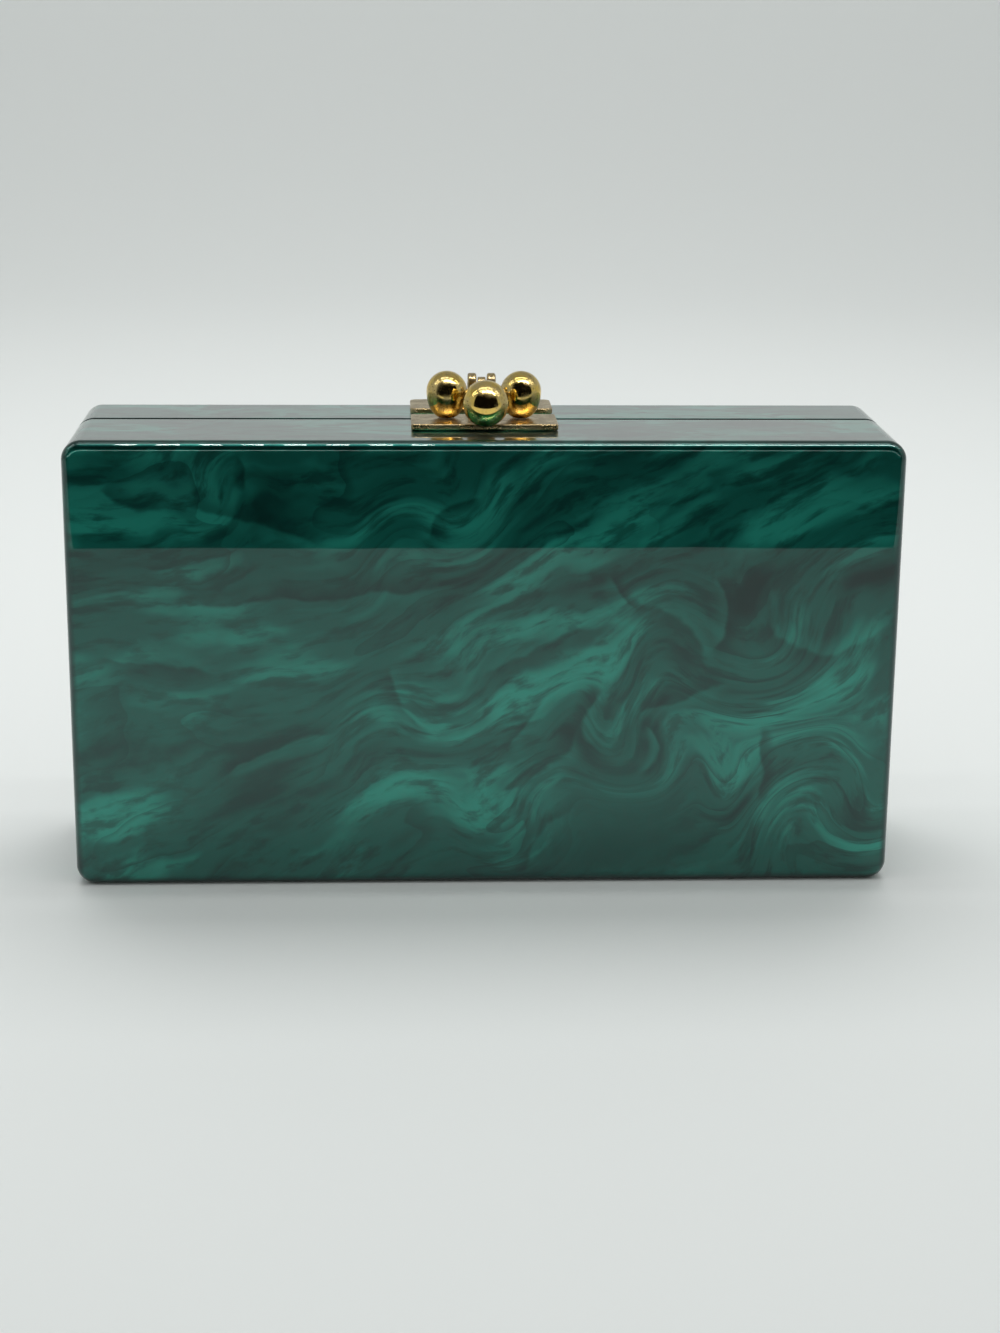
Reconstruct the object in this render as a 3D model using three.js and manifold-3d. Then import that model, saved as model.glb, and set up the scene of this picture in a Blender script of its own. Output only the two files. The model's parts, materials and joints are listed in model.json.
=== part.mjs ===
// Hard-sided box bag in marbled acrylic, with a gilt flip-lock clasp of three balls.
// Millimetres, +Z up. The origin is the centre of the base, +X runs along the long side
// and the front faces -Y.
//
// The box parts at a seam into two trays, a deep front one and a shallow back one, joined
// by two flush hinges under the seam. On top, two balls stand on the front tray's plate.
// A lever, hinged between two ears on the back tray's plate, passes between them and
// carries the third ball, which hangs in front of the two and keeps the trays shut.

import * as THREE from "three";
import { mergeVertices } from "three/addons/utils/BufferGeometryUtils.js";
import Module from "manifold-3d";

const wasm = await Module();
wasm.setup();

// The box
const boxWidth = 184;
const boxDepth = 49;
const boxHeight = 101.5;
const wall = 4;
const cornerRadius = 4.4; // the four corners seen from the front
const faceRoundover = 2.2; // the edges round the front and back faces
const cavityRadius = 1.5;
const seamY = 4;
const seamGap = 0.3;
const seamEdgeRadius = 0.5;

// Clearances
const seatGap = 0.2; // a fixed piece to its seat
const fitGap = 0.3; // a moving or let-in piece to its neighbour
const pinGap = 0.15; // a pin to its hole, all round

// The clasp, with heights above the box's top
const plateWidth = 32.6;
const plateThickness = 1.3;
const frontPlateDepth = 13.7;
const frontPlateSetback = 2; // its back edge in front of the seam
const frontPlateCorner = 0.8;
const backPlateDepth = 13;
const backPlateSetback = 4.8; // its front edge behind the seam
const backPlateCorner = 1.6;
const sideBallRadius = 4.55;
const sideBallSpacing = 16.6;
const sideBallHeight = 7.45; // of its widest girth
const sideBallSetback = 6.8; // in front of the seam
const sideBallDrop = 6.1; // the longer lower half, from the girth to where its curve would close
const sideBallFullness = 0.8; // below 1 the lower half is fuller than an ellipse
const frontBallRadius = 5.1;
const frontBallOverhang = 1.9; // its centre in front of the front plate
const leverHeight = 6.55;
const leverSetback = 7; // its pin behind the seam
const leverWidth = 1.8;
const leverThickness = 2.4;
const knuckleRadius = 1.9;
const earThickness = 2;
const earDepth = 4.2;
const earRise = 2.8; // above the lever's pin
const earCorner = 1;
const leverPinRadius = 0.8;
const studRadius = 0.7; // the stud on the arm's end, inside the front ball
const studLength = 3;

// The hinges
const lidOpensDeg = 90;
const hingeSpacing = 100;
const hingeLength = 24;
const barrelRadius = 1.2;
const barrelRecess = 0.3; // the barrel and the leaves above the base
const hingePinRadius = 0.55;
const leafThickness = 0.8;
const leafDepth = 9; // from the hinge's axis
const tongueLength = 2.6; // from the hinge's axis to the full-width leaf

// Facets
const cornerSteps = 6;
const roundoverSteps = 4;
const seamEdgeSteps = 2;
const plateCornerSteps = 4;
const ballSides = 24;
const ballRings = 14;
const rodSides = 20;

// Places worked out from the sizes above
const hingeAxisZ = barrelRecess + barrelRadius;
const plateTop = seatGap + plateThickness;
const leverLength = leverSetback + frontPlateSetback + frontPlateDepth + frontBallOverhang;
const armEndY = fitGap - leverLength + Math.sqrt(frontBallRadius ** 2 - (leverThickness / 2) ** 2);
const overshoot = 1; // how far a cutter passes a face

const acrylic = new THREE.MeshStandardMaterial({ color: 0x17513f, roughness: 0.1, metalness: 0 });
const gilt = new THREE.MeshStandardMaterial({ color: 0xc79a3c, roughness: 0.25, metalness: 1 });

// A closed mesh as a solid that can be cut and joined.
function toSolid(geometry) {
  const bare = geometry.clone();
  bare.deleteAttribute("normal");
  bare.deleteAttribute("uv");
  const welded = mergeVertices(bare);
  return new wasm.Manifold(
    new wasm.Mesh({
      numProp: 3,
      vertProperties: welded.attributes.position.array,
      triVerts: new Uint32Array(welded.index.array),
    }),
  );
}

function toGeometry(solid) {
  const { vertProperties, triVerts } = solid.getMesh();
  const geometry = new THREE.BufferGeometry();
  geometry.setAttribute("position", new THREE.BufferAttribute(vertProperties, 3));
  geometry.setIndex(new THREE.BufferAttribute(triVerts, 1));
  return geometry;
}

function join(...geometries) {
  return toGeometry(geometries.map(toSolid).reduce((whole, piece) => whole.add(piece)));
}

function cut(geometry, ...cutters) {
  const start = toSolid(geometry);
  return toGeometry(cutters.map(toSolid).reduce((rest, piece) => rest.subtract(piece), start));
}

function block([x0, x1], [y0, y1], [z0, z1]) {
  const geometry = new THREE.BoxGeometry(x1 - x0, y1 - y0, z1 - z0);
  return geometry.translate((x0 + x1) / 2, (y0 + y1) / 2, (z0 + z1) / 2);
}

// A round bar along X, centred at x.
function rod(radius, length, x = 0) {
  const geometry = new THREE.CylinderGeometry(radius, radius, length, rodSides);
  return geometry.rotateZ(Math.PI / 2).translate(x, 0, 0);
}

// A flat shape drawn in Y and Z, made solid along X and centred on x = 0.
function slab(shape, thickness) {
  const geometry = new THREE.ExtrudeGeometry(shape, {
    depth: thickness,
    bevelEnabled: false,
    curveSegments: plateCornerSteps,
  });
  geometry.translate(0, 0, -thickness / 2);
  const along = new THREE.Matrix4().makeBasis(
    new THREE.Vector3(0, 1, 0),
    new THREE.Vector3(0, 0, 1),
    new THREE.Vector3(1, 0, 0),
  );
  return geometry.applyMatrix4(along);
}

function named(name, geometry, material) {
  const mesh = new THREE.Mesh(geometry, material);
  mesh.name = name;
  return mesh;
}

// The box's trays

// A rounded rectangle in X and Z, set in from the box's outline, as [x, z] pairs.
function ring(inset, radius) {
  const x = boxWidth / 2 - inset - radius;
  const low = inset + radius;
  const high = boxHeight - inset - radius;
  const corners = [
    { x, z: low, startDeg: -90 },
    { x, z: high, startDeg: 0 },
    { x: -x, z: high, startDeg: 90 },
    { x: -x, z: low, startDeg: 180 },
  ];
  return corners.flatMap((corner) =>
    Array.from({ length: cornerSteps + 1 }, (_, step) => {
      const angle = THREE.MathUtils.degToRad(corner.startDeg + (90 * step) / cornerSteps);
      return [corner.x + radius * Math.cos(angle), corner.z + radius * Math.sin(angle)];
    }),
  );
}

// The rings of a tray, from its outer face over the rounded edge to the seam, and back
// inside to the floor of its hollow.
function traySections(faceY, rimY) {
  const inward = Math.sign(rimY - faceY);
  const sections = [];
  const quarter = (steps, place) => {
    for (let step = 0; step <= steps; step++) {
      const angle = (Math.PI / 2) * (step / steps);
      sections.push(place(Math.sin(angle), Math.cos(angle)));
    }
  };
  quarter(roundoverSteps, (sin, cos) => ({
    y: faceY + inward * faceRoundover * (1 - cos),
    points: ring(faceRoundover * (1 - sin), cornerRadius - faceRoundover * (1 - sin)),
  }));
  quarter(seamEdgeSteps, (sin, cos) => ({
    y: rimY - inward * seamEdgeRadius * (1 - sin),
    points: ring(seamEdgeRadius * (1 - cos), cornerRadius - seamEdgeRadius * (1 - cos)),
  }));
  sections.push({ y: rimY, points: ring(wall, cavityRadius) });
  sections.push({ y: faceY + inward * wall, points: ring(wall, cavityRadius) });
  return sections;
}

// One tray as a closed skin: its rings joined by strips, its first and last ring capped.
function tray(faceY, rimY) {
  const sections = traySections(faceY, rimY);
  const count = sections[0].points.length;
  const positions = sections.flatMap(({ y, points }) => points.flatMap(([x, z]) => [x, y, z]));
  const indices = [];
  const triangle = (a, b, c) => indices.push(...(rimY > faceY ? [a, b, c] : [a, c, b]));
  const last = sections.length - 1;
  const outerCentre = sections.length * count;
  const innerCentre = outerCentre + 1;
  positions.push(0, sections[0].y, boxHeight / 2, 0, sections[last].y, boxHeight / 2);
  for (let point = 0; point < count; point++) {
    const next = (point + 1) % count;
    triangle(outerCentre, point, next);
    triangle(innerCentre, last * count + next, last * count + point);
    for (let section = 0; section < last; section++) {
      const near = section * count;
      const far = near + count;
      triangle(near + point, far + point, far + next);
      triangle(near + point, far + next, near + next);
    }
  }
  const geometry = new THREE.BufferGeometry();
  geometry.setAttribute("position", new THREE.Float32BufferAttribute(positions, 3));
  geometry.setIndex(indices);
  return geometry;
}

// The groove along the bottom of the seam that lets the trays turn about the hinges: two
// slopes that meet just above the axis, each half the opening angle from upright.
function seamGroove() {
  const apexZ = hingeAxisZ + fitGap;
  const depth = apexZ + overshoot;
  const halfWidth = depth * Math.tan(THREE.MathUtils.degToRad(lidOpensDeg / 2));
  const shape = new THREE.Shape();
  shape.moveTo(0, 0);
  shape.lineTo(-halfWidth, -depth);
  shape.lineTo(halfWidth, -depth);
  shape.closePath();
  return slab(shape, boxWidth + 2 * overshoot).translate(0, seamY, apexZ);
}

// The room for one hinge: a flat pocket for its leaves and a round one for its barrel.
function hingeRecess(x) {
  const length = hingeLength + 2 * fitGap;
  const reach = leafDepth + fitGap;
  const top = barrelRecess + leafThickness + fitGap;
  const along = [x - length / 2, x + length / 2];
  const pocket = block(along, [seamY - reach, seamY + reach], [-overshoot, top]);
  const barrel = rod(barrelRadius + fitGap, length, x).translate(0, seamY, hingeAxisZ);
  return join(pocket, barrel);
}

function shell(name, faceY, rimY) {
  const recesses = [-hingeSpacing / 2, hingeSpacing / 2].map(hingeRecess);
  return named(name, cut(tray(faceY, rimY), seamGroove(), ...recesses), acrylic);
}

// The hinges, each in its own frame with the axis along X through its origin

// A leaf reaches to the front (side -1) or the back (side 1) and holds the knuckles whose
// middles are given.
function hingeLeaf(name, side, knuckles) {
  const knuckleLength = hingeLength / 3;
  const low = -barrelRadius;
  const high = low + leafThickness;
  const depthRange = (near, far) => [side * near, side * far].sort((a, b) => a - b);
  const pieces = [
    block([-hingeLength / 2, hingeLength / 2], depthRange(tongueLength, leafDepth), [low, high]),
  ];
  for (const x of knuckles) {
    const length = knuckleLength - fitGap;
    const tongue = depthRange(0, tongueLength + overshoot);
    pieces.push(block([x - length / 2, x + length / 2], tongue, [low, high]));
    pieces.push(rod(barrelRadius, length, x));
  }
  const bore = rod(hingePinRadius + pinGap, hingeLength + 2 * overshoot);
  return named(name, cut(join(...pieces), bore), gilt);
}

function hinge(sideName, x) {
  const pitch = hingeLength / 3;
  const group = new THREE.Group();
  group.add(hingeLeaf("hinge_leaf_front_" + sideName, -1, [0]));
  group.add(hingeLeaf("hinge_leaf_back_" + sideName, 1, [-pitch, pitch]));
  group.add(named("hinge_pin_" + sideName, rod(hingePinRadius, hingeLength - fitGap), gilt));
  group.position.set(x, seamY, hingeAxisZ);
  return group;
}

// The clasp, in a frame whose origin is on the box's top over the seam

function plate(depth, corner) {
  const x = plateWidth / 2 - corner;
  const y = depth / 2 - corner;
  const shape = new THREE.Shape();
  shape.absarc(x, y, corner, 0, Math.PI / 2);
  shape.absarc(-x, y, corner, Math.PI / 2, Math.PI);
  shape.absarc(-x, -y, corner, Math.PI, (3 * Math.PI) / 2);
  shape.absarc(x, -y, corner, (3 * Math.PI) / 2, 2 * Math.PI);
  const geometry = new THREE.ExtrudeGeometry(shape, {
    depth: plateThickness,
    bevelEnabled: false,
    curveSegments: plateCornerSteps,
  });
  return geometry.translate(0, 0, seatGap);
}

function frontPlate() {
  const y = -frontPlateSetback - frontPlateDepth / 2;
  return named("front_plate", plate(frontPlateDepth, frontPlateCorner).translate(0, y, 0), gilt);
}

// An upright ear, from inside the plate to above the lever's pin, with rounded top corners.
function ear(x) {
  const half = earDepth / 2;
  const top = leverHeight + earRise;
  const shape = new THREE.Shape();
  shape.moveTo(-half, plateTop - plateThickness / 2);
  shape.lineTo(half, plateTop - plateThickness / 2);
  shape.absarc(half - earCorner, top - earCorner, earCorner, 0, Math.PI / 2);
  shape.absarc(-half + earCorner, top - earCorner, earCorner, Math.PI / 2, Math.PI);
  shape.closePath();
  return slab(shape, earThickness).translate(x, leverSetback, 0);
}

function backPlate() {
  const earX = leverWidth / 2 + fitGap + earThickness / 2;
  const base = plate(backPlateDepth, backPlateCorner);
  base.translate(0, backPlateSetback + backPlateDepth / 2, 0);
  const pinHole = rod(leverPinRadius + pinGap, 2 * (earX + earThickness));
  pinHole.translate(0, leverSetback, leverHeight);
  return named("back_plate", cut(join(base, ear(-earX), ear(earX)), pinHole), gilt);
}

function leverPin() {
  const length = leverWidth + 2 * (fitGap + earThickness);
  const pin = named("lever_pin", rod(leverPinRadius, length), gilt);
  pin.position.set(0, leverSetback, leverHeight);
  return pin;
}

// A side ball: a half sphere above its girth, and below it a longer, full half that
// narrows to the small foot on which it stands.
function sideBall(name, x) {
  const foot = plateTop + seatGap;
  const footAngle = Math.asin((sideBallHeight - foot) / sideBallDrop);
  const profile = [new THREE.Vector2(0, foot)];
  for (let step = ballRings / 2; step > 0; step--) {
    const angle = (footAngle * step) / (ballRings / 2);
    const radius = sideBallRadius * Math.cos(angle) ** sideBallFullness;
    profile.push(new THREE.Vector2(radius, sideBallHeight - sideBallDrop * Math.sin(angle)));
  }
  for (let step = 0; step < ballRings / 2; step++) {
    const angle = (Math.PI * step) / ballRings;
    const radius = sideBallRadius * Math.cos(angle);
    profile.push(new THREE.Vector2(radius, sideBallHeight + sideBallRadius * Math.sin(angle)));
  }
  profile.push(new THREE.Vector2(0, sideBallHeight + sideBallRadius));
  const geometry = new THREE.LatheGeometry(profile, ballSides).rotateX(Math.PI / 2);
  const ball = named(name, toGeometry(toSolid(geometry)), gilt);
  ball.position.set(x, -sideBallSetback, 0);
  return ball;
}

// The lever, in its own frame with the pin's axis along X through its origin

// A round bar along Y, from inside the arm's end towards the front ball's middle.
function studBar(radius, length) {
  const geometry = new THREE.CylinderGeometry(radius, radius, length + overshoot, rodSides);
  return geometry.translate(0, armEndY + (overshoot - length) / 2, 0);
}

function leverArm() {
  const half = leverThickness / 2;
  const knuckle = rod(knuckleRadius, leverWidth);
  const arm = block([-leverWidth / 2, leverWidth / 2], [armEndY, 0], [-half, half]);
  const pinHole = rod(leverPinRadius + pinGap, leverWidth + 2 * overshoot);
  return named("lever_arm", cut(join(knuckle, arm, studBar(studRadius, studLength)), pinHole), gilt);
}

function frontBall() {
  const ball = new THREE.SphereGeometry(frontBallRadius, ballSides, ballRings);
  ball.translate(0, -leverLength, 0);
  const socket = studBar(studRadius + pinGap, studLength + fitGap);
  return named("front_ball", cut(ball, socket), gilt);
}

// The whole bag

const lever = new THREE.Group();
lever.add(leverArm(), frontBall());
lever.position.set(0, leverSetback, leverHeight);

const clasp = new THREE.Group();
clasp.add(frontPlate(), backPlate(), leverPin(), lever);
clasp.add(sideBall("side_ball_left", -sideBallSpacing / 2));
clasp.add(sideBall("side_ball_right", sideBallSpacing / 2));
clasp.position.set(0, seamY, boxHeight);

const bag = new THREE.Group();
bag.add(shell("front_shell", -boxDepth / 2, seamY - seamGap / 2));
bag.add(shell("back_shell", boxDepth / 2, seamY + seamGap / 2));
bag.add(hinge("left", -hingeSpacing / 2), hinge("right", hingeSpacing / 2));
bag.add(clasp);

export default bag;
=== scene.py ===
import json
import math

import bmesh
import bpy
import numpy as np
from mathutils import Matrix, Vector


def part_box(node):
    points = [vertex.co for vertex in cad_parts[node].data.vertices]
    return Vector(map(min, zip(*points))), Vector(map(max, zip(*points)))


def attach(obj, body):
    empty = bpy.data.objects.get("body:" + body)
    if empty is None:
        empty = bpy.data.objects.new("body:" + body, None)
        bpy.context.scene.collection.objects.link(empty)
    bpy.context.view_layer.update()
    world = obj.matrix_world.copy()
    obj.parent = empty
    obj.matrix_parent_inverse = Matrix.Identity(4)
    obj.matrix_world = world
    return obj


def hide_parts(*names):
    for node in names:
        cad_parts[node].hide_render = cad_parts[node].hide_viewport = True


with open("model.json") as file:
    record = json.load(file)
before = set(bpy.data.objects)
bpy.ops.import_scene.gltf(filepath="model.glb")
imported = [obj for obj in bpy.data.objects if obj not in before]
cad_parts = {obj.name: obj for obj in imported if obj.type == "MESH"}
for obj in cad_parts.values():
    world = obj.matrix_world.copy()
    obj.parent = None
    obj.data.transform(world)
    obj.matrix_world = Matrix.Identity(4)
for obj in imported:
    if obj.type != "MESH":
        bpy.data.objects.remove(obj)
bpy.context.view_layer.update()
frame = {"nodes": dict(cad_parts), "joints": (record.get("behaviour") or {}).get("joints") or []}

# Camera
# It stands a little left of the bag's middle and about twice its height, and looks down on the
# front face and the top.
camera_place = (-0.02166, -0.55370, 0.20020)
camera_lens_mm = 67.04
camera_sensor_mm = 36.0
camera_nearest = 0.01
camera_turn = math.radians(2.688)
camera_down = math.radians(15.723)
camera_roll = math.radians(0.534)

camera = bpy.data.objects.new("camera", bpy.data.cameras.new("camera"))
camera.data.sensor_width = camera_sensor_mm
camera.data.lens = camera_lens_mm
camera.data.clip_start = camera_nearest
camera.matrix_world = (
    Matrix.Translation(camera_place)
    @ Matrix.Rotation(-camera_turn, 4, "Z")
    @ Matrix.Rotation(math.pi / 2 - camera_down, 4, "X")
    @ Matrix.Rotation(camera_roll, 4, "Z")
)
scene = bpy.context.scene
scene.collection.objects.link(camera)
scene.camera = camera
scene.view_settings.view_transform = "Standard"

# Stage
# A pale floor that curves up all round into a wall, as in a small light tent. The tent's open
# side is in front: there a black card, seen only in reflections, stands for the dark room.
floor_radius = 1.0
floor_rings = 12
floor_curve = 1.1
curve_rings = 24
floor_wall_height = 1.3
floor_sides = 96
floor_colour = (0.78, 0.80, 0.79, 1)
floor_roughness = 0.75
wall_glow_colour = (0.97, 1.0, 0.985, 1)
wall_glow_from = 0.02
wall_glow_full = 0.5
wall_glow_strength = 0.12
card_place_y = -0.362
card_half_width = 0.68
card_height = 1.35
card_points_round = 49
card_colour = (0.004, 0.004, 0.004, 1)


def add_mesh(name, points, faces, smooth=True):
    """A mesh object of these points and faces, at the origin and linked to the scene."""
    mesh = bpy.data.meshes.new(name)
    mesh.from_pydata(np.asarray(points).reshape(-1, 3).tolist(), [], [list(face) for face in faces])
    mesh.shade_smooth() if smooth else mesh.shade_flat()
    mesh.update()
    piece = bpy.data.objects.new(name, mesh)
    scene.collection.objects.link(piece)
    return piece


def grid_faces(rows, columns, closed=True):
    """Quads between neighbouring rows of a grid of points; closed joins the last column to the
    first."""
    row, column = np.meshgrid(np.arange(rows - 1), np.arange(columns - (not closed)), indexing="ij")
    after = (column + 1) % columns
    here, next_row = row * columns, (row + 1) * columns
    corners = [here + column, here + after, next_row + after, next_row + column]
    return np.stack(corners, axis=-1).reshape(-1, 4).tolist()


def turned(profile, sides):
    """Points of a profile of (radius, height) pairs carried round the Z axis in equal steps."""
    profile = np.asarray(profile, float)
    angle = np.linspace(0, 2 * np.pi, sides, endpoint=False)
    x = profile[:, :1] * np.cos(angle)
    y = profile[:, :1] * np.sin(angle)
    z = np.repeat(profile[:, 1:], sides, axis=1)
    return np.stack([x, y, z], axis=-1)


def new_material(name):
    """A node material without nodes; returns it and its node tree."""
    material = bpy.data.materials.new(name)
    material.use_nodes = True
    material.node_tree.nodes.clear()
    return material, material.node_tree


def add_node(tree, kind, inputs=None, **settings):
    """A node of this kind with its settings. Inputs are values, or sockets to link from."""
    made = tree.nodes.new(kind)
    for key, value in settings.items():
        setattr(made, key, value)
    for key, value in (inputs or {}).items():
        if isinstance(value, bpy.types.NodeSocket):
            tree.links.new(value, made.inputs[key])
        else:
            made.inputs[key].default_value = value
    return made


flat_part = np.stack([np.linspace(0, floor_radius, floor_rings), np.zeros(floor_rings)], axis=1)
curve = np.linspace(0, np.pi / 2, curve_rings)[1:]
curved_part = [floor_radius + floor_curve * np.sin(curve), floor_curve * (1 - np.cos(curve))]
wall_top = [[floor_radius + floor_curve, floor_wall_height]]
stage_profile = np.concatenate([flat_part, np.stack(curved_part, axis=1), wall_top])
floor = add_mesh("floor", turned(stage_profile, floor_sides), grid_faces(len(stage_profile), floor_sides))
floor_material, tree = new_material("pale_floor")
place = add_node(tree, "ShaderNodeTexCoord").outputs["Object"]
height = add_node(tree, "ShaderNodeSeparateXYZ", {0: place})
glow = add_node(tree, "ShaderNodeMapRange", {
    "Value": height.outputs["Z"], "From Min": wall_glow_from, "From Max": wall_glow_full,
    "To Min": 0.0, "To Max": wall_glow_strength,
}, interpolation_type="SMOOTHSTEP")
paper = add_node(tree, "ShaderNodeBsdfPrincipled", {
    "Base Color": floor_colour, "Roughness": floor_roughness, "Specular IOR Level": 0.2,
    "Emission Color": wall_glow_colour, "Emission Strength": glow.outputs[0],
})
add_node(tree, "ShaderNodeOutputMaterial", {"Surface": paper.outputs[0]})
floor.data.materials.append(floor_material)

arch = np.linspace(0, np.pi, card_points_round)
card_points = np.stack([
    card_half_width * np.cos(arch), np.full_like(arch, card_place_y), card_height * np.sin(arch),
], axis=1)
card = add_mesh("dark_opening", card_points, [range(card_points_round)])
card_material, tree = new_material("black_card")
black = add_node(tree, "ShaderNodeBsdfDiffuse", {"Color": card_colour})
add_node(tree, "ShaderNodeOutputMaterial", {"Surface": black.outputs[0]})
card.data.materials.append(card_material)
card.visible_camera = card.visible_diffuse = card.visible_shadow = card.visible_transmission = False

# Light
# The tent's roof is a soft white sky. Two rows of lamps and a strip across it draw the bright
# lines along the bag's top edge and over the balls. Two large boxes light the floor behind.
sky_colour = (0.96, 1.0, 0.985)
sky_strength = 0.345
lamp_height = 0.72
ceiling_panels = [
    {"at": (x, y, lamp_height), "size": (0.62, 0.03), "power": 0.42, "tilt": 0}
    for y in (-0.15, 0.02) for x in (-0.75, 0.0, 0.75)
]
strip_y = -0.25
strip_tilt = -20
dash_start = -0.165
dash_step = 0.0227
edge_strips = [
    {"at": (dash_start + dash_step * dash, strip_y, lamp_height), "size": (0.012, 0.014),
     "power": 0.13, "tilt": strip_tilt}
    for dash in range(8)
]
edge_strips += [
    {"at": (0.30, strip_y, lamp_height), "size": (0.55, 0.014), "power": 2.6, "tilt": strip_tilt},
]
soft_boxes = [
    {"at": (0, 0.40, 0.95), "size": (0.9, 0.5), "power": 5.2, "tilt": 20},
    {"at": (0, 1.15, 0.9), "size": (1.4, 0.7), "power": 2.6, "tilt": 0},
]

world = bpy.data.worlds.new("sky")
world.use_nodes = True
world.node_tree.nodes["Background"].inputs["Color"].default_value = (*sky_colour, 1)
world.node_tree.nodes["Background"].inputs["Strength"].default_value = sky_strength
scene.world = world
for index, panel in enumerate(ceiling_panels + edge_strips + soft_boxes):
    lamp = bpy.data.lights.new(f"lamp_{index}", "AREA")
    lamp.shape = "RECTANGLE"
    lamp.size, lamp.size_y = panel["size"]
    lamp.energy = panel["power"]
    lamp_object = bpy.data.objects.new(lamp.name, lamp)
    lamp_object.location = panel["at"]
    lamp_object.rotation_euler.x = -math.radians(panel["tilt"])
    lamp_object.visible_camera = False
    lamp_object.visible_diffuse = panel not in edge_strips
    lamp_object.visible_glossy = panel not in soft_boxes
    scene.collection.objects.link(lamp_object)

# Acrylic trays
# The box is two trays of 4 mm marbled acrylic, a deep one in front and a shallow one behind.
# Each is a sheet with a rim glued round it, rounded over along the outer edges and polished.
# Along the bottom of the seam a groove lets the trays turn, and pockets hold the hinges.
front_low, front_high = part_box("front_shell")
back_low, back_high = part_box("back_shell")
wall = 0.004
corner_radius = 0.0044
face_roundover = 0.0022
face_round_steps = 13
small_round_steps = 7
corner_steps = 14
cavity_radius = 0.0015
cavity_floor_radius = 0.0008
seam_edge_radius = 0.0008
seam_angle = math.radians(32)
hinge_leaf_thickness = 0.0008
barrel_sides = 32
weld_distance = 1e-6
hinge_axis = Vector(next(j["pos_m"] for j in frame["joints"] if j["name"] == "front_opens"))
groove_lift = 0.0003
fit_gap = 0.0003
holding_edge = 0.00012
# Rings across the flat rim; the third lies where the groove begins
rim_rings = (0.0010, 0.00135, hinge_axis.z + groove_lift, 0.0024, wall - holding_edge, wall)


def tray_stations(depth):
    """Rings from the outer face to the cavity's floor as (inset, corner radius, depth below the
    outer face): a quarter round at the face, a small one at the seam, the flat rim in steps,
    and the cavity with a small round at its floor."""
    quarter = np.linspace(0, np.pi / 2, face_round_steps)
    small = np.linspace(0, np.pi / 2, small_round_steps)
    inset = np.concatenate([
        [face_roundover + holding_edge], face_roundover * (1 - np.sin(quarter)), [0.0, 0.0],
        seam_edge_radius * (1 - np.cos(small)),
    ])
    below = np.concatenate([
        [0.0], face_roundover * (1 - np.cos(quarter)),
        [face_roundover + holding_edge, depth - seam_edge_radius - holding_edge],
        depth - seam_edge_radius * (1 - np.sin(small)),
    ])
    outer = np.stack([inset, corner_radius - inset, below], axis=1)
    rim_inset = np.array(rim_rings)
    rim_radius = np.maximum(corner_radius - rim_inset, cavity_radius)
    rim = np.stack([rim_inset, rim_radius, np.full_like(rim_inset, depth)], axis=1)
    hollow = depth - wall
    floor_inset = wall + cavity_floor_radius * (1 - np.cos(small))
    floor_below = depth - hollow + cavity_floor_radius * (1 - np.sin(small))
    inner = np.stack([floor_inset, np.full_like(small, cavity_radius), floor_below], axis=1)
    wall_ends = (depth - holding_edge, inner[0, 2] + holding_edge)
    start = [[wall, cavity_radius, wall_end] for wall_end in wall_ends]
    last = [[inner[-1, 0] + holding_edge, cavity_radius, inner[-1, 2]]]
    return np.concatenate([outer, rim, start, inner, last])


def tray_points(face_y, rim_y, low, high):
    """Each station carried round a rounded rectangle in X and Z. Below the hinge's axis no
    point passes the groove's slope, which falls away from the seam at 45 degrees."""
    inward = np.sign(rim_y - face_y)
    station = tray_stations(abs(rim_y - face_y))
    angle = np.concatenate([np.linspace(0, 90, corner_steps + 1) + start for start in (-90, 0, 90, 180)])
    angle = np.radians(angle)
    side_x = np.repeat([1, 1, -1, -1], corner_steps + 1)
    side_z = np.repeat([-1, 1, 1, -1], corner_steps + 1)
    inset, radius, below = (station[:, k:k + 1] for k in range(3))
    middle_x, middle_z = (low.x + high.x) / 2, (low.z + high.z) / 2
    half_x, half_z = (high.x - low.x) / 2, (high.z - low.z) / 2
    x = middle_x + side_x * (half_x - inset - radius) + radius * np.cos(angle)
    z = middle_z + side_z * (half_z - inset - radius) + radius * np.sin(angle)
    y = face_y + inward * below + 0 * x
    slope_y = hinge_axis.y - inward * (hinge_axis.z + groove_lift - z)
    in_groove = (z < hinge_axis.z + groove_lift) & (inward * (y - slope_y) > 0)
    y = np.where(in_groove, slope_y, y)
    return np.stack([x, y, z], axis=-1)


def make_tray(name, face_y, rim_y, low, high):
    """The tray's rings joined by quads, with its outer face and its cavity's floor as caps."""
    points = tray_points(face_y, rim_y, low, high)
    rows, columns = points.shape[:2]
    faces = grid_faces(rows, columns)
    faces.append(list(range(columns))[::-1])
    faces.append([(rows - 1) * columns + k for k in range(columns)])
    if rim_y > face_y:
        faces = [face[::-1] for face in faces]
    return add_mesh(name, points, faces)


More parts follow.
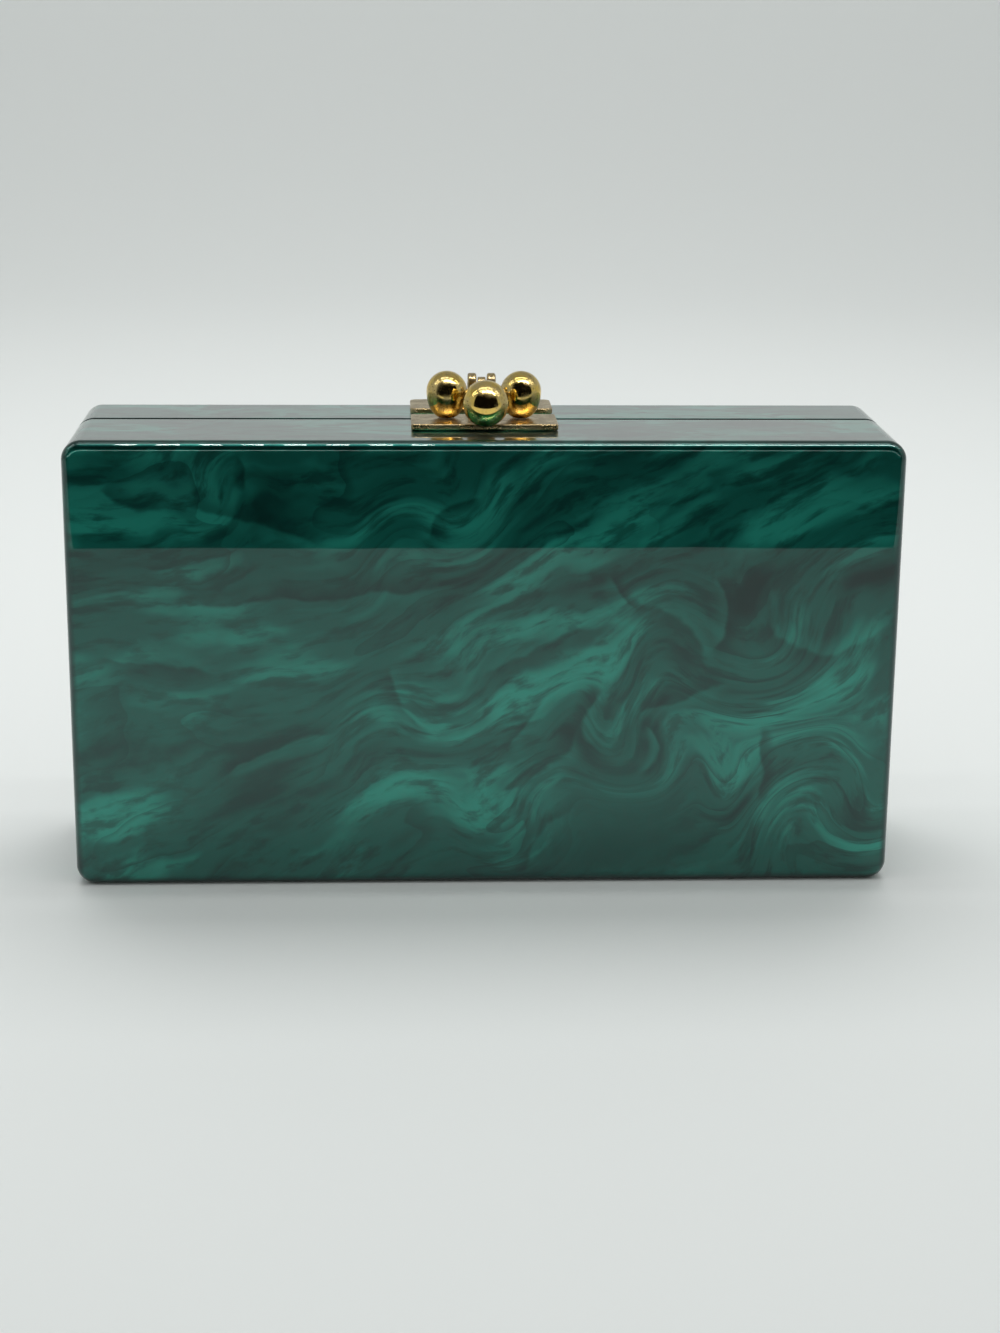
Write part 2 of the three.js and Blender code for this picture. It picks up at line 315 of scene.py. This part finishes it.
def hinge_recess(side):
    """A closed cutter for one hinge: a flat box for its leaves and a round bar for its barrel."""
    leaf_low, leaf_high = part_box(f"hinge_leaf_front_{side}")
    back_leaf_low, back_leaf_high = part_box(f"hinge_leaf_back_{side}")
    under_base = -0.001
    box_low = (leaf_low.x - fit_gap, leaf_low.y - fit_gap, under_base)
    pocket_top = leaf_low.z + hinge_leaf_thickness + fit_gap
    box_high = (leaf_high.x + fit_gap, back_leaf_high.y + fit_gap, pocket_top)
    cutter = bmesh.new()
    size = Vector(box_high) - Vector(box_low)
    centre = (Vector(box_high) + Vector(box_low)) / 2
    bmesh.ops.create_cube(cutter, matrix=Matrix.Translation(centre) @ Matrix.Diagonal((*size, 1)))
    barrel_radius = hinge_axis.z - leaf_low.z + fit_gap
    along = Matrix.Translation((centre.x, hinge_axis.y, hinge_axis.z)) @ Matrix.Rotation(math.pi / 2, 4, "Y")
    bmesh.ops.create_cone(
        cutter, cap_ends=True, segments=barrel_sides, radius1=barrel_radius, radius2=barrel_radius,
        depth=size.x, matrix=along,
    )
    mesh = bpy.data.meshes.new("hinge_recess")
    cutter.to_mesh(mesh)
    cutter.free()
    recess = bpy.data.objects.new("hinge_recess", mesh)
    scene.collection.objects.link(recess)
    return recess


def cut_recesses(piece, cutters):
    """Welds the points that meet in the groove, cuts the cutters out of the piece and keeps the
    result as its mesh."""
    work = bmesh.new()
    work.from_mesh(piece.data)
    bmesh.ops.remove_doubles(work, verts=work.verts, dist=weld_distance)
    bmesh.ops.dissolve_degenerate(work, edges=work.edges, dist=weld_distance)
    bmesh.ops.recalc_face_normals(work, faces=work.faces)
    work.to_mesh(piece.data)
    work.free()
    for cutter in cutters:
        boolean = piece.modifiers.new("recess", "BOOLEAN")
        boolean.operation = "DIFFERENCE"
        boolean.object = cutter
        boolean.use_self = True
    graph = bpy.context.evaluated_depsgraph_get()
    result = bpy.data.meshes.new_from_object(piece.evaluated_get(graph))
    piece.modifiers.clear()
    piece.data = result
    piece.data.shade_smooth()
    piece.data.set_sharp_from_angle(angle=seam_angle)


front_tray = make_tray("front_tray", front_low.y, front_high.y, front_low, front_high)
back_tray = make_tray("back_tray", back_high.y, back_low.y, back_low, back_high)
recesses = [hinge_recess(side) for side in ("left", "right")]
for tray in (front_tray, back_tray):
    cut_recesses(tray, recesses)
for recess in recesses:
    bpy.data.objects.remove(recess)

# The marbling: a slow flow that rises to the right, stirred by swirls, drawn out into streaks
swirls_mm = [
    {"centre": (-75, 0, 55), "radius": 70, "turn": -17},
    {"centre": (72, 0, 62), "radius": 34, "turn": 40},
    {"centre": (50, 0, 60), "radius": 24, "turn": -50},
    {"centre": (38, 0, 33), "radius": 22, "turn": 70},
    {"centre": (26, 0, 42), "radius": 16, "turn": -50},
    {"centre": (12, 0, 15), "radius": 24, "turn": 55},
    {"centre": (-16, 0, 42), "radius": 22, "turn": -50},
    {"centre": (-62, 0, 92), "radius": 16, "turn": 45},
    {"centre": (-12, 0, 82), "radius": 20, "turn": -45},
    {"centre": (80, 0, 18), "radius": 26, "turn": -85},
    {"centre": (60, 0, 26), "radius": 18, "turn": 70},
]
# Folds in the flow, each an arc through three points (x, z). The dark is sharp on one side and
# fades out over the given length on the other: outwards from the arc's centre, or inwards (< 0).
folds_mm = [
    {"start": (27, 71), "through": (31, 66), "end": (35, 63), "fade": -2.5, "depth": 0.6},
    {"start": (50, 72), "through": (53, 64), "end": (50, 53), "fade": 4.5, "depth": 0.68},
    {"start": (29, 65), "through": (44, 60), "end": (49, 50), "fade": -5.0, "depth": 0.52},
    {"start": (61, 65), "through": (72, 54), "end": (91, 64), "fade": 6.0, "depth": 0.4},
    {"start": (26, 45), "through": (22, 39), "end": (24, 32), "fade": 3.5, "depth": 0.68},
    {"start": (32, 44), "through": (32, 37), "end": (28, 31), "fade": 3.0, "depth": 0.45},
    {"start": (36, 39), "through": (39, 34), "end": (34, 25), "fade": 3.5, "depth": 0.64},
    {"start": (-21, 52), "through": (-19, 42), "end": (-12, 35), "fade": 5.0, "depth": 0.45},
    {"start": (-12, 35), "through": (-5, 37), "end": (1, 43), "fade": 4.0, "depth": 0.38},
    {"start": (-85, 92), "through": (-79, 88), "end": (-69, 88), "fade": -5.0, "depth": 0.6},
    {"start": (-55, 98), "through": (-52, 94), "end": (-53, 90), "fade": -3.5, "depth": 0.52},
    {"start": (-68, 88), "through": (-52, 84), "end": (-36, 78), "fade": 6.0, "depth": 0.56},
    {"start": (-13, 78), "through": (-10, 85), "end": (0, 90), "fade": -6.0, "depth": 0.52},
    {"start": (-70, 66), "through": (-38, 67), "end": (-6, 71), "fade": -5.0, "depth": 0.6},
    {"start": (-60, 24), "through": (-51, 31), "end": (-32, 37), "fade": 4.5, "depth": 0.56},
    {"start": (9, 2), "through": (11, 11), "end": (20, 18), "fade": 3.0, "depth": 0.52},
    {"start": (-1, 47), "through": (12, 56), "end": (33, 61), "fade": -5.5, "depth": 0.45},
    {"start": (-1, 21), "through": (15, 29), "end": (23, 42), "fade": -5.5, "depth": 0.45},
    {"start": (4, 32), "through": (10, 38), "end": (13, 45), "fade": -3.0, "depth": 0.45},
    {"start": (62, 37), "through": (63, 28), "end": (62, 19), "fade": 3.5, "depth": 0.64},
    {"start": (34, 41), "through": (44, 44), "end": (55, 47), "fade": 5.0, "depth": 0.45},
    {"start": (-87, 52), "through": (-73, 52), "end": (-58, 50), "fade": -5.0, "depth": 0.52},
]
fold_edge_mm = (-0.9, 0.2)
fold_taper = 0.35
fold_glow_mm = 5.0
fold_glow_share = 0.2
# Places where the pattern is calmer and nearer to the middle green
calm_patches_mm = [
    {"centre": (31, 0, 12), "radius": 26, "share": 0.6},
    {"centre": (-58, 0, 46), "radius": 50, "share": 0.3},
]
calm_core = 0.2
fold_wobbles_mm = [
    {"scale": 0.07, "reach": 5.0},
    {"scale": 0.25, "reach": 1.8},
]
warp_sizes_mm = [{"scale": 0.016, "reach": 22}, {"scale": 0.06, "reach": 5}, {"scale": 0.3, "reach": 0.7}]
flow_turn = math.radians(22)
flow_stretch = (0.24, 1.0, 1.0)
flow_shift = (0, 9.8, 0)
bands_noise = {"scale": 0.085, "detail": 3.0, "roughness": 0.45}
dark_to_middle = (0.30, 0.46)
middle_to_pool = (0.49, 0.63)
crease_noise = {"scale": 0.05, "detail": 1.5, "roughness": 0.4}
creases_in_noise = 7.0
crease_edge = 0.02
crease_width = 0.24
crease_place_noise = {"scale": 0.03, "detail": 1.0}
crease_places = (0.42, 0.56)
crease_depths = (0.1, 0.5)
fine_noise = {"scale": 0.35, "detail": 5.0, "roughness": 0.55}
fine_reach = (0.46, 0.66)
fine_depth = 0.65
smoke_noise = {"scale": 0.03, "detail": 4.0, "roughness": 0.6}
smoke_reach = (0.5, 0.68)
smoke_depth = 0.4
gloss_wave_noise = {"scale": 0.05, "detail": 1.0}
dark_green = (0.0035, 0.030, 0.026, 1)
middle_green = (0.008, 0.108, 0.084, 1)
pool_green = (0.022, 0.270, 0.205, 1)
smoke_green = (0.010, 0.045, 0.042, 1)
# Painted shade: a near-black colour for the gap between the trays at the seam
seam_shade_colour = (0.002, 0.004, 0.004, 1)
seam_shade_mm = (0.6, 0.85)
seam_shade_inset_mm = (0.8, 1.2)
# Painted shade on the rounded edges where the outer faces turn into the rim
rim_shade_inset_mm = (0.8, 2.2)
rim_shade_face_mm = (1.0, 2.2)
roundover_shade_depth = 0.85
pearl_metallic = 0.95
pearl_roughness = 0.28
gloss_roughness = 0.012
gloss_ior = 1.54
gloss_wave_height = 0.00001


def swirled(tree, place):
    """The place turned about each swirl's centre, by its full angle at the centre and by none
    at its radius."""
    flat = add_node(tree, "ShaderNodeVectorMath", {0: place, 1: (1, 0, 1)}, operation="MULTIPLY")
    flat = flat.outputs[0]
    for swirl in swirls_mm:
        away = add_node(tree, "ShaderNodeVectorMath", {0: flat, 1: swirl["centre"]}, operation="DISTANCE")
        angle = add_node(tree, "ShaderNodeMapRange", {
            "Value": away.outputs["Value"], "From Min": 0.0, "From Max": swirl["radius"],
            "To Min": math.radians(swirl["turn"]), "To Max": 0.0,
        }, interpolation_type="SMOOTHSTEP")
        flat = add_node(tree, "ShaderNodeVectorRotate", {
            "Vector": flat, "Center": swirl["centre"], "Angle": angle.outputs[0],
        }, rotation_type="Y_AXIS").outputs[0]
    return flat


def warped(tree, place, scale, reach):
    """The place moved by up to about half the reach along soft noise of this scale."""
    soft = add_node(tree, "ShaderNodeTexNoise", {"Vector": place, "Scale": scale, "Detail": 1.0})
    centred = add_node(tree, "ShaderNodeVectorMath", {
        0: soft.outputs["Color"], 1: (0.5, 0.5, 0.5),
    }, operation="SUBTRACT")
    moved = add_node(tree, "ShaderNodeVectorMath", {
        0: centred.outputs[0], 1: (reach, reach, reach), 2: place,
    }, operation="MULTIPLY_ADD")
    return moved.outputs[0]


def ramp(tree, value, low, high, first=0.0, last=1.0):
    """A smooth step of the value from first at low to last at high."""
    return add_node(tree, "ShaderNodeMapRange", {
        "Value": value, "From Min": low, "From Max": high, "To Min": first, "To Max": last,
    }, interpolation_type="SMOOTHSTEP").outputs[0]


def calculated(tree, operation, first, second=0.5, third=0.5):
    """The result of one Math node."""
    return add_node(tree, "ShaderNodeMath", {0: first, 1: second, 2: third}, operation=operation).outputs[0]


def product(tree, first, second):
    return calculated(tree, "MULTIPLY", first, second)


def noise(tree, place, scale, detail, roughness=0.5):
    """Soft noise from 0 to 1 at this place."""
    return add_node(tree, "ShaderNodeTexNoise", {
        "Vector": place, "Scale": scale, "Detail": detail, "Roughness": roughness,
    }).outputs[0]


def place_in_mm(tree):
    """The point's place on the piece in millimetres."""
    metres = add_node(tree, "ShaderNodeTexCoord").outputs["Object"]
    return add_node(tree, "ShaderNodeVectorMath", {0: metres, "Scale": 1000.0}, operation="SCALE").outputs[0]


def mixed(tree, factor, first, second):
    """The first colour at factor 0 and the second at 1."""
    mix = add_node(tree, "ShaderNodeMix", {"Factor": factor, 6: first, 7: second}, data_type="RGBA")
    return mix.outputs[2]


def circle_through(start, through, end):
    """The centre and the radius of the circle through three points."""
    start, through, end = (np.asarray(point, float) for point in (start, through, end))
    sides = 2 * np.array([through - start, end - start])
    centre = np.linalg.solve(sides, [through @ through - start @ start, end @ end - start @ start])
    return centre, np.linalg.norm(start - centre)


def fold_marks(tree, flat):
    """The folds' dark and the glow along their sharp sides. Both depend on the distance from the
    arc, and on the angle from its middle, so that each fold tapers at its ends."""
    dark = glow = 0.0
    for fold in folds_mm:
        centre, radius = circle_through(fold["start"], fold["through"], fold["end"])
        first_spoke, last_spoke = ((np.asarray(fold[key]) - centre) / radius for key in ("start", "end"))
        middle = (first_spoke + last_spoke) / np.linalg.norm(first_spoke + last_spoke)
        end_cosine = first_spoke @ middle
        away = add_node(tree, "ShaderNodeVectorMath", {
            0: flat, 1: (centre[0], 0, centre[1]),
        }, operation="SUBTRACT").outputs[0]
        length = add_node(tree, "ShaderNodeVectorMath", {0: away}, operation="LENGTH").outputs["Value"]
        along = add_node(tree, "ShaderNodeVectorMath", {
            0: away, 1: (middle[0], 0, middle[1]),
        }, operation="DOT_PRODUCT").outputs["Value"]
        cosine = calculated(tree, "DIVIDE", along, length)
        taper = ramp(tree, cosine, end_cosine, fold_taper * end_cosine + 1 - fold_taper)
        side = 1 if fold["fade"] > 0 else -1
        past = calculated(tree, "MULTIPLY_ADD", length, side, -side * radius)
        edge = ramp(tree, past, *fold_edge_mm)
        shade = ramp(tree, past, fold_edge_mm[1], abs(fold["fade"]), fold["depth"], 0.0)
        shade = product(tree, product(tree, shade, edge), taper)
        dark = calculated(tree, "MAXIMUM", shade, dark)
        light = calculated(tree, "SUBTRACT", ramp(tree, past, -fold_glow_mm, fold_edge_mm[0]), edge)
        glow = calculated(tree, "MAXIMUM", product(tree, light, taper), glow)
    return dark, glow


acrylic, tree = new_material("marbled_acrylic")
place = place_in_mm(tree)
flow = swirled(tree, place)
depth = add_node(tree, "ShaderNodeVectorMath", {0: place, 1: (0, 1, 0)}, operation="MULTIPLY").outputs[0]
flow = add_node(tree, "ShaderNodeVectorMath", {0: flow, 1: depth}, operation="ADD").outputs[0]
for warp in warp_sizes_mm:
    flow = warped(tree, flow, warp["scale"], warp["reach"])
turned_flow = add_node(tree, "ShaderNodeVectorRotate", {
    "Vector": flow, "Angle": flow_turn,
}, rotation_type="Y_AXIS")
streak = add_node(tree, "ShaderNodeVectorMath", {
    0: turned_flow.outputs[0], 1: flow_stretch, 2: flow_shift,
}, operation="MULTIPLY_ADD").outputs[0]

bands = noise(tree, streak, **bands_noise)
colour = mixed(tree, ramp(tree, bands, *dark_to_middle), dark_green, middle_green)
colour = mixed(tree, ramp(tree, bands, *middle_to_pool), colour, pool_green)
creases = calculated(tree, "FRACT", product(tree, noise(tree, streak, **crease_noise), creases_in_noise))
crease_fade = ramp(tree, creases, 0.0, crease_width, 1.0, 0.0)
crease = product(tree, crease_fade, ramp(tree, creases, 0.0, crease_edge))
crease_place = noise(tree, place, **crease_place_noise)
crease = product(tree, crease, ramp(tree, crease_place, *crease_places, *crease_depths))
colour = mixed(tree, crease, colour, dark_green)
fine = noise(tree, streak, **fine_noise)
colour = mixed(tree, ramp(tree, fine, *fine_reach, 0.0, fine_depth), colour, dark_green)
smoke = noise(tree, streak, **smoke_noise)
colour = mixed(tree, ramp(tree, smoke, *smoke_reach, 0.0, smoke_depth), colour, smoke_green)

flat = add_node(tree, "ShaderNodeVectorMath", {0: place, 1: (1, 0, 1)}, operation="MULTIPLY").outputs[0]
for patch in calm_patches_mm:
    away = add_node(tree, "ShaderNodeVectorMath", {0: flat, 1: patch["centre"]}, operation="DISTANCE")
    inner_radius = calm_core * patch["radius"]
    calm = ramp(tree, away.outputs["Value"], inner_radius, patch["radius"], patch["share"], 0.0)
    colour = mixed(tree, calm, colour, middle_green)
for wobble in fold_wobbles_mm:
    flat = warped(tree, flat, wobble["scale"], wobble["reach"])
flat = add_node(tree, "ShaderNodeVectorMath", {0: flat, 1: (1, 0, 1)}, operation="MULTIPLY").outputs[0]
fold_dark, fold_glow = fold_marks(tree, flat)
colour = mixed(tree, product(tree, fold_glow, fold_glow_share), colour, pool_green)
colour = mixed(tree, fold_dark, colour, dark_green)

# Painted shade: darker along the glued rim's rounded edges, and near black in the seam gap
x, y, z = add_node(tree, "ShaderNodeSeparateXYZ", {0: place}).outputs
seam_y, face_y, half_width, half_height = (
    1000 * size for size in (hinge_axis.y, back_high.y, front_high.x, front_high.z / 2)
)
from_seam = calculated(tree, "ABSOLUTE", calculated(tree, "SUBTRACT", y, seam_y))
from_middle = calculated(tree, "ABSOLUTE", calculated(tree, "SUBTRACT", z, half_height))
beyond_side = calculated(tree, "SUBTRACT", calculated(tree, "ABSOLUTE", x), half_width)
beyond_end = calculated(tree, "SUBTRACT", from_middle, half_height)
inset = product(tree, calculated(tree, "MAXIMUM", beyond_side, beyond_end), -1.0)
from_face = calculated(tree, "SUBTRACT", face_y, calculated(tree, "ABSOLUTE", y))
# Painted shade: the colour darkens towards dark green on the rounded edges of the outer faces
near_side = ramp(tree, inset, *rim_shade_inset_mm, 1.0, 0.0)
rim_shade_mask = product(tree, near_side, ramp(tree, from_face, *rim_shade_face_mm, 1.0, 0.0))
colour = mixed(tree, product(tree, rim_shade_mask, roundover_shade_depth), colour, dark_green)
# Painted shade in the seam gap: the colour goes near black there
near_outside = ramp(tree, inset, *seam_shade_inset_mm, 1.0, 0.0)
seam_shade = product(tree, near_outside, ramp(tree, from_seam, *seam_shade_mm, 1.0, 0.0))
colour = mixed(tree, seam_shade, colour, seam_shade_colour)
wavy = add_node(tree, "ShaderNodeBump", {
    "Height": noise(tree, place, **gloss_wave_noise), "Strength": 1.0, "Distance": gloss_wave_height,
}).outputs[0]
# Where the seam's painted shade lies, the shell also loses its metallic and its coat
shell = add_node(tree, "ShaderNodeBsdfPrincipled", {
    "Base Color": colour, "Metallic": ramp(tree, seam_shade, 0.0, 1.0, pearl_metallic, 0.0),
    "Roughness": pearl_roughness, "Specular IOR Level": 0.0, "Coat Normal": wavy,
    "Coat Weight": ramp(tree, seam_shade, 0.0, 1.0, 1.0, 0.0), "Coat Roughness": gloss_roughness,
    "Coat IOR": gloss_ior,
})
add_node(tree, "ShaderNodeOutputMaterial", {"Surface": shell.outputs[0]})

# A low strip of light that only the trays catch draws the second line under the top edge
low_strip_size = (1.0, 0.010)
low_strip_power = 0.24
low_strip_place = (0, -0.35, 0.125)

tray_light_takers = bpy.data.collections.new("trays")
low_strip = bpy.data.lights.new("low_strip", "AREA")
low_strip.shape = "RECTANGLE"
low_strip.size, low_strip.size_y = low_strip_size
low_strip.energy = low_strip_power
low_strip_object = bpy.data.objects.new("low_strip", low_strip)
low_strip_object.location = low_strip_place
low_strip_object.rotation_euler.x = math.radians(90)
low_strip_object.visible_camera = low_strip_object.visible_diffuse = False
low_strip_object.light_linking.receiver_collection = tray_light_takers
scene.collection.objects.link(low_strip_object)

for tray, node, body in ((front_tray, "front_shell", "front_half"), (back_tray, "back_shell", "back_half")):
    tray_light_takers.objects.link(tray)
    tray.data.materials.clear()
    tray.data.materials.append(acrylic)
    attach(tray, body)
    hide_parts(node)

# Clasp plates
# Two gilt plates lie flat on the trays' tops. The front one carries the two side balls. Two
# ears with round corners stand on the back one and hold the lever's pin between them.
plate_edge = 0.00024
front_plate_corner = 0.0008
back_plate_corner = 0.0016
back_plate_thickness = 0.0013
ear_thickness = 0.002
ear_corner = 0.002
ear_edge = 0.0005
ear_depth = 0.0042
ear_rise = 0.0028
ear_inside = 0.0012
ear_sink = 0.0001
block_corner_points = 9
block_edge_steps = 5
least_corner = 0.00002
clasp_sharp_angle = math.radians(40)
lever_axis = Vector(next(j["pos_m"] for j in frame["joints"] if j["name"] == "lever_lifts"))


def rounded_block(low, high, corner, edge, axis):
    """Rings of a block from low to high. Across the axis its outline has corners of one radius,
    and at both ends its edge is rounded over: inset = edge * (1 - sin t), t from 0 to 90."""
    low, high = np.asarray(low, float), np.asarray(high, float)
    u, v = [k for k in range(3) if k != axis]
    steps = np.linspace(0, np.pi / 2, block_edge_steps)
    inset = edge * (1 - np.sin(steps))
    inset = np.concatenate([[edge * 2], inset, [0.0, 0.0], inset[::-1], [edge * 2]])
    rise = edge * (1 - np.cos(steps))
    length = high[axis] - low[axis]
    along = np.concatenate([[0.0], rise, [edge * 2, length - edge * 2], (length - rise)[::-1], [length]])
    quarter = np.linspace(0, 90, block_corner_points)
    angle = np.radians(np.concatenate([quarter + start for start in (0, 90, 180, 270)]))
    side_u = np.repeat([1, -1, -1, 1], block_corner_points)
    side_v = np.repeat([1, 1, -1, -1], block_corner_points)
    radius = np.maximum(corner - inset, least_corner)[:, None]
    half_u, half_v = ((high[k] - low[k]) / 2 - inset[:, None] for k in (u, v))
    points = np.empty((len(inset), len(angle), 3))
    points[..., u] = (high[u] + low[u]) / 2 + side_u * (half_u - radius) + radius * np.cos(angle)
    points[..., v] = (high[v] + low[v]) / 2 + side_v * (half_v - radius) + radius * np.sin(angle)
    points[..., axis] = low[axis] + along[:, None]
    return points


def add_rings(name, *parts):
    """One mesh of closed parts, each a grid of rings joined by quads, with capped ends."""
    points, faces, start = [], [], 0
    for part in parts:
        rows, columns = part.shape[:2]
        own = grid_faces(rows, columns)
        own += [list(range(columns)), [(rows - 1) * columns + k for k in range(columns)]]
        faces += [[start + corner for corner in face] for face in own]
        points.append(part.reshape(-1, 3))
        start += rows * columns
    piece = add_mesh(name, np.concatenate(points), faces)
    work = bmesh.new()
    work.from_mesh(piece.data)
    bmesh.ops.recalc_face_normals(work, faces=work.faces)
    work.to_mesh(piece.data)
    work.free()
    piece.data.set_sharp_from_angle(angle=clasp_sharp_angle)
    return piece


def finish_piece(piece, material, body, node):
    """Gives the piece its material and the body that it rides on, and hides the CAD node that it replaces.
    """
    piece.data.materials.clear()
    piece.data.materials.append(material)
    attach(piece, body)
    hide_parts(node)


cloud_noise = {"scale": 0.35, "detail": 4.0, "roughness": 0.6}
worn_reach = (0.40, 0.62)
speck_reach = (0.56, 0.66)
speck_places = (0.38, 0.60)
least_specks = 0.25
speck_roughness = 0.4


def gilt_material(name, gold, worn, tarnish, rough_low, rough_high, speck_scale, speck_share):
    """Gold, paler and rougher where noise marks it worn, with small dark specks of tarnish."""
    material, tree = new_material(name)
    place = place_in_mm(tree)
    cloud = noise(tree, place, **cloud_noise)
    grain = noise(tree, place, speck_scale, detail=3.0, roughness=0.7)
    haze = ramp(tree, cloud, *worn_reach)
    speck_place = ramp(tree, cloud, *speck_places, least_specks, 1.0)
    specks = product(tree, product(tree, ramp(tree, grain, *speck_reach), speck_place), speck_share)
    colour = mixed(tree, specks, mixed(tree, haze, gold, worn), tarnish)
    worn_rough = ramp(tree, haze, 0.0, 1.0, rough_low, rough_high)
    speck_rough = ramp(tree, specks, 0.0, 1.0, 0.0, speck_roughness)
    rough = calculated(tree, "MAXIMUM", worn_rough, speck_rough)
    metal = add_node(tree, "ShaderNodeBsdfPrincipled", {
        "Base Color": colour, "Metallic": 1.0, "Roughness": rough,
    })
    add_node(tree, "ShaderNodeOutputMaterial", {"Surface": metal.outputs[0]})
    return material


gilt_plate = gilt_material(
    "gilt_plate", gold=(0.54, 0.40, 0.19, 1), worn=(0.44, 0.34, 0.20, 1), tarnish=(0.20, 0.12, 0.05, 1),
    rough_low=0.26, rough_high=0.36, speck_scale=1.4, speck_share=0.35,
)

plate_low, plate_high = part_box("front_plate")
front_plate = add_rings(
    "clasp_plate_front", rounded_block(plate_low, plate_high, front_plate_corner, plate_edge, 2),
)
finish_piece(front_plate, gilt_plate, "front_half", "front_plate")

plate_low, plate_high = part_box("back_plate")
plate_high = (plate_high.x, plate_high.y, plate_low.z + back_plate_thickness)
parts = [rounded_block(plate_low, plate_high, back_plate_corner, plate_edge, 2)]
for side in (-1, 1):
    near, far = sorted((side * ear_inside, side * (ear_inside + ear_thickness)))
    ear_low = (near, lever_axis.y - ear_depth / 2, plate_low.z + ear_sink)
    ear_high = (far, lever_axis.y + ear_depth / 2, lever_axis.z + ear_rise)
    parts.append(rounded_block(ear_low, ear_high, ear_corner, ear_edge, 0))
back_plate = add_rings("clasp_plate_back", *parts)
finish_piece(back_plate, gilt_plate, "back_half", "back_plate")

# Lever
# A flat arm on a riveted pin between the ears. Its knuckle is a round boss, and its far end is
# fixed in the front ball, which holds the two side balls back.
lever_width = 0.0018
lever_thickness = 0.0024
lever_corner = 0.0004
knuckle_radius = 0.0019
rivet_radius = 0.0008
rivet_half_length = 0.00328
rivet_edge = 0.0001
turned_bar_sides = 48
front_ball_radius = 0.0051
arm_start_in_ball = 0.9
ball_low, ball_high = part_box("front_ball")
front_ball_middle = (ball_low + ball_high) / 2


def turned_bar(radius, half_length, edge, middle):
    """A round bar along X. Its rims are rounded over: inset = edge * (1 - sin t), t from 0 to 90."""
    steps = np.linspace(0, np.pi / 2, block_edge_steps)
    rim = [radius - edge * (1 - np.sin(steps)), -half_length + edge * (1 - np.cos(steps))]
    rim = np.stack(rim, axis=1)
    profile = np.concatenate([rim, rim[::-1] * (1, -1)])
    return np.roll(turned(profile, turned_bar_sides), 1, axis=-1) + np.asarray(middle)


arm_end = front_ball_middle.y + arm_start_in_ball * front_ball_radius
arm_low = (-lever_width / 2, arm_end, lever_axis.z - lever_thickness / 2)
arm_high = (lever_width / 2, lever_axis.y, lever_axis.z + lever_thickness / 2)
lever_arm = add_rings(
    "clasp_lever",
    rounded_block(arm_low, arm_high, lever_corner, plate_edge, 1),
    turned_bar(knuckle_radius, lever_width / 2, plate_edge, lever_axis),
)
finish_piece(lever_arm, gilt_plate, "lever", "lever_arm")
rivet = add_rings("clasp_rivet", turned_bar(rivet_radius, rivet_half_length, rivet_edge, lever_axis))
finish_piece(rivet, gilt_plate, "back_half", "lever_pin")

# Balls
# Polished gilt balls with specks of tarnish. The two side ones narrow below their girth to a
# foot on the front plate, and the one on the lever is a full sphere.
side_ball_radius = 0.00455
side_ball_drop = 0.0061
side_ball_fullness = 0.8
ball_sides = 96
ball_rings = 40
pole = 0.00001
gilt_ball = gilt_material(
    "gilt_ball", gold=(0.84, 0.59, 0.15, 1), worn=(0.66, 0.50, 0.21, 1), tarnish=(0.17, 0.10, 0.03, 1),
    rough_low=0.09, rough_high=0.22, speck_scale=1.7, speck_share=0.95,
)


def side_ball_profile(foot_depth):
    """Above the girth a half sphere. Below it radius = R cos(t) ** fullness at depth
    drop * sin(t), down to the foot."""
    foot_angle = math.asin(foot_depth / side_ball_drop)
    below = np.linspace(foot_angle, 0, ball_rings)[:-1]
    above = np.linspace(0, np.pi / 2, ball_rings)
    lower = np.stack([
        side_ball_radius * np.cos(below) ** side_ball_fullness, -side_ball_drop * np.sin(below),
    ], axis=1)
    upper = side_ball_radius * np.stack([np.cos(above), np.sin(above)], axis=1)
    foot = [[pole, -foot_depth]]
    return np.concatenate([foot, lower, np.maximum(upper, (pole, 0))])


for side in ("left", "right"):
    low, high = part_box(f"side_ball_{side}")
    girth = Vector(((low.x + high.x) / 2, (low.y + high.y) / 2, high.z - side_ball_radius))
    profile = side_ball_profile(girth.z - low.z)
    ball = add_rings(f"clasp_ball_{side}", turned(profile, ball_sides) + np.asarray(girth))
    finish_piece(ball, gilt_ball, "front_half", f"side_ball_{side}")

around = np.linspace(-np.pi / 2, np.pi / 2, 2 * ball_rings)
profile = np.maximum(front_ball_radius * np.cos(around), pole)
profile = np.stack([profile, front_ball_radius * np.sin(around)], axis=1)
front_ball = add_rings("clasp_ball_front", turned(profile, ball_sides) + np.asarray(front_ball_middle))
finish_piece(front_ball, gilt_ball, "lever", "front_ball")

# Hinges
# Two small plain butt hinges of the same gilt brass, let into the base along the seam with
# their barrels upward. They keep their own meshes.
for name, piece in frame["nodes"].items():
    if "hinge" in name:
        piece.data.materials.clear()
        piece.data.materials.append(gilt_plate)
